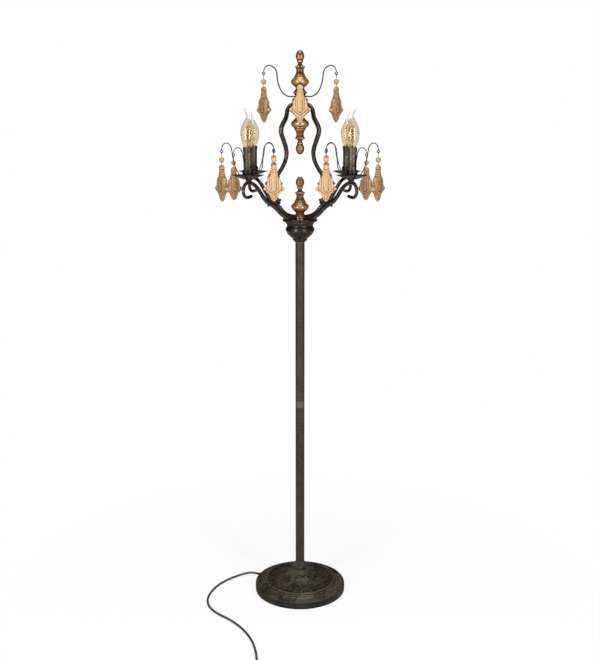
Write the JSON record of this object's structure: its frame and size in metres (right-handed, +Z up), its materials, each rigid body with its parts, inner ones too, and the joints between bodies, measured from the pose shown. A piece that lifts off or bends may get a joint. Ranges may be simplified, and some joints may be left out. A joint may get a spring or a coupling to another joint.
{
  "type": "floor lamp",
  "caption": "Candlestick floor lamp: slim pole on a round base, S-curved candle arms with drip pans, lyre-shaped cage, turned finials and hanging carved drops.",
  "frame": {"origin": "middle of the base's underside, on the floor", "axes": "+Z up along the pole, -Y towards the side the lamp is seen from, +X to that viewer's right"},
  "size_m": [0.4801, 0.7027, 1.5],
  "materials": {
    "bronzed_iron": "antiqued brown-black paint, satin, mottled",
    "pole_paint": "antiqued brown-black paint, satin, mottled",
    "forged_iron": "dark forged iron, rubbed, satin",
    "pan_iron": "dark antiqued iron, satin",
    "sleeve_iron": "dark bronzed iron, satin",
    "amber_glass": "clear amber tinted glass",
    "turned_wood": "turned wood, dark antiqued stain with rubbed highlights",
    "carved_wood": "carved wood, mid brown stain",
    "pale_wood": "carved wood, pale stain",
    "black_wire": "blackened wire, satin",
    "cast_weight": "rough casting",
    "felt": "felt",
    "steel_fixings": "zinc plated, satin",
    "holder_plastic": "moulded",
    "bulb_brass": "rolled thread",
    "filament": "phosphor coated sticks on fine wire",
    "brown_cord": "smooth insulated flex",
    "switch_plastic": "moulded, fine grain",
    "blade_brass": "stamped"
  },
  "bodies": {
    "stand": {"base_shell": "bronzed_iron", "base_collar": "bronzed_iron", "crown_cup": "bronzed_iron", "pole_lower": "pole_paint", "pole_upper": "pole_paint", "crown_plate": "forged_iron", "top_hub": "forged_iron", "lyre_bolts": "forged_iron", "arm_1": "forged_iron", "arm_2": "forged_iron", "arm_3": "forged_iron", "arm_4": "forged_iron", "lyre_bar_1": "forged_iron", "lyre_bar_2": "forged_iron", "lyre_bar_3": "forged_iron", "lyre_bar_4": "forged_iron", "drip_pan_1": "pan_iron", "drip_pan_2": "pan_iron", "drip_pan_3": "pan_iron", "drip_pan_4": "pan_iron", "candle_sleeve_1": "sleeve_iron", "candle_sleeve_2": "sleeve_iron", "candle_sleeve_3": "sleeve_iron", "candle_sleeve_4": "sleeve_iron", "bulb_glass_1": "amber_glass", "bulb_glass_2": "amber_glass", "bulb_glass_3": "amber_glass", "bulb_glass_4": "amber_glass", "finial_top": "turned_wood", "finial_pendant": "turned_wood", "finial_crown": "turned_wood", "hub_hooks": "black_wire", "pan_hooks": "black_wire", "base_weight": "cast_weight", "base_pad": "felt", "base_fixings": "steel_fixings", "crown_fixings": "steel_fixings", "pole_coupler": "steel_fixings", "lampholders": "holder_plastic", "bulb_caps": "bulb_brass", "bulb_filaments": "filament", "cord": "brown_cord", "cord_coil": "brown_cord", "cord_grommet": "brown_cord", "switch_body": "switch_plastic", "plug_body": "switch_plastic", "plug_blades": "blade_brass"},
    "button": {"switch_button": "switch_plastic"},
    "swing_1": {"pendant_1": "carved_wood"},
    "swing_2": {"pendant_2": "carved_wood"},
    "swing_3": {"pendant_3": "carved_wood"},
    "swing_4": {"pendant_4": "pale_wood"},
    "swing_5": {"pendant_5": "carved_wood"},
    "swing_6": {"pendant_6": "carved_wood"},
    "swing_7": {"pendant_7": "carved_wood"},
    "swing_8": {"pendant_8": "carved_wood"},
    "swing_9": {"pendant_9": "carved_wood"},
    "swing_10": {"pendant_10": "pale_wood"},
    "swing_11": {"pendant_11": "carved_wood"},
    "swing_12": {"pendant_12": "pale_wood"}
  },
  "joints": [
    {"name": "button_travel", "type": "slide", "parent": "stand", "child": "button", "axis": [0, 0, -1], "range_m": [0, 0.0025], "stiffness_N_per_m": 400},
    {"name": "pendant_1_swing", "type": "hinge", "parent": "stand", "child": "swing_1", "pos_m": [0.0938, 0, 1.4385], "axis": [1, 0, 0], "range_deg": [-25, 25]},
    {"name": "pendant_2_swing", "type": "hinge", "parent": "stand", "child": "swing_2", "pos_m": [0, 0.0938, 1.4385], "axis": [0, 1, 0], "range_deg": [-25, 25]},
    {"name": "pendant_3_swing", "type": "hinge", "parent": "stand", "child": "swing_3", "pos_m": [-0.0938, 0, 1.4385], "axis": [1, 0, 0], "range_deg": [-25, 25]},
    {"name": "pendant_4_swing", "type": "hinge", "parent": "stand", "child": "swing_4", "pos_m": [0, -0.0938, 1.4385], "axis": [0, 1, 0], "range_deg": [-25, 25]},
    {"name": "pendant_5_swing", "type": "hinge", "parent": "stand", "child": "swing_5", "pos_m": [0.18397, 0.12997, 1.2285], "axis": [1, 0, 0], "range_deg": [-20, 20]},
    {"name": "pendant_6_swing", "type": "hinge", "parent": "stand", "child": "swing_6", "pos_m": [0.07297, 0.12997, 1.2425], "axis": [1, 0, 0], "range_deg": [-20, 20]},
    {"name": "pendant_7_swing", "type": "hinge", "parent": "stand", "child": "swing_7", "pos_m": [-0.18397, 0.12997, 1.2285], "axis": [1, 0, 0], "range_deg": [-20, 20]},
    {"name": "pendant_8_swing", "type": "hinge", "parent": "stand", "child": "swing_8", "pos_m": [-0.07297, 0.12997, 1.2425], "axis": [1, 0, 0], "range_deg": [-20, 20]},
    {"name": "pendant_9_swing", "type": "hinge", "parent": "stand", "child": "swing_9", "pos_m": [-0.19497, -0.12997, 1.2435], "axis": [1, 0, 0], "range_deg": [-20, 20]},
    {"name": "pendant_10_swing", "type": "hinge", "parent": "stand", "child": "swing_10", "pos_m": [-0.06497, -0.12997, 1.2435], "axis": [1, 0, 0], "range_deg": [-20, 20]},
    {"name": "pendant_11_swing", "type": "hinge", "parent": "stand", "child": "swing_11", "pos_m": [0.19497, -0.12997, 1.2435], "axis": [1, 0, 0], "range_deg": [-20, 20]},
    {"name": "pendant_12_swing", "type": "hinge", "parent": "stand", "child": "swing_12", "pos_m": [0.06497, -0.12997, 1.2435], "axis": [1, 0, 0], "range_deg": [-20, 20]}
  ]
}
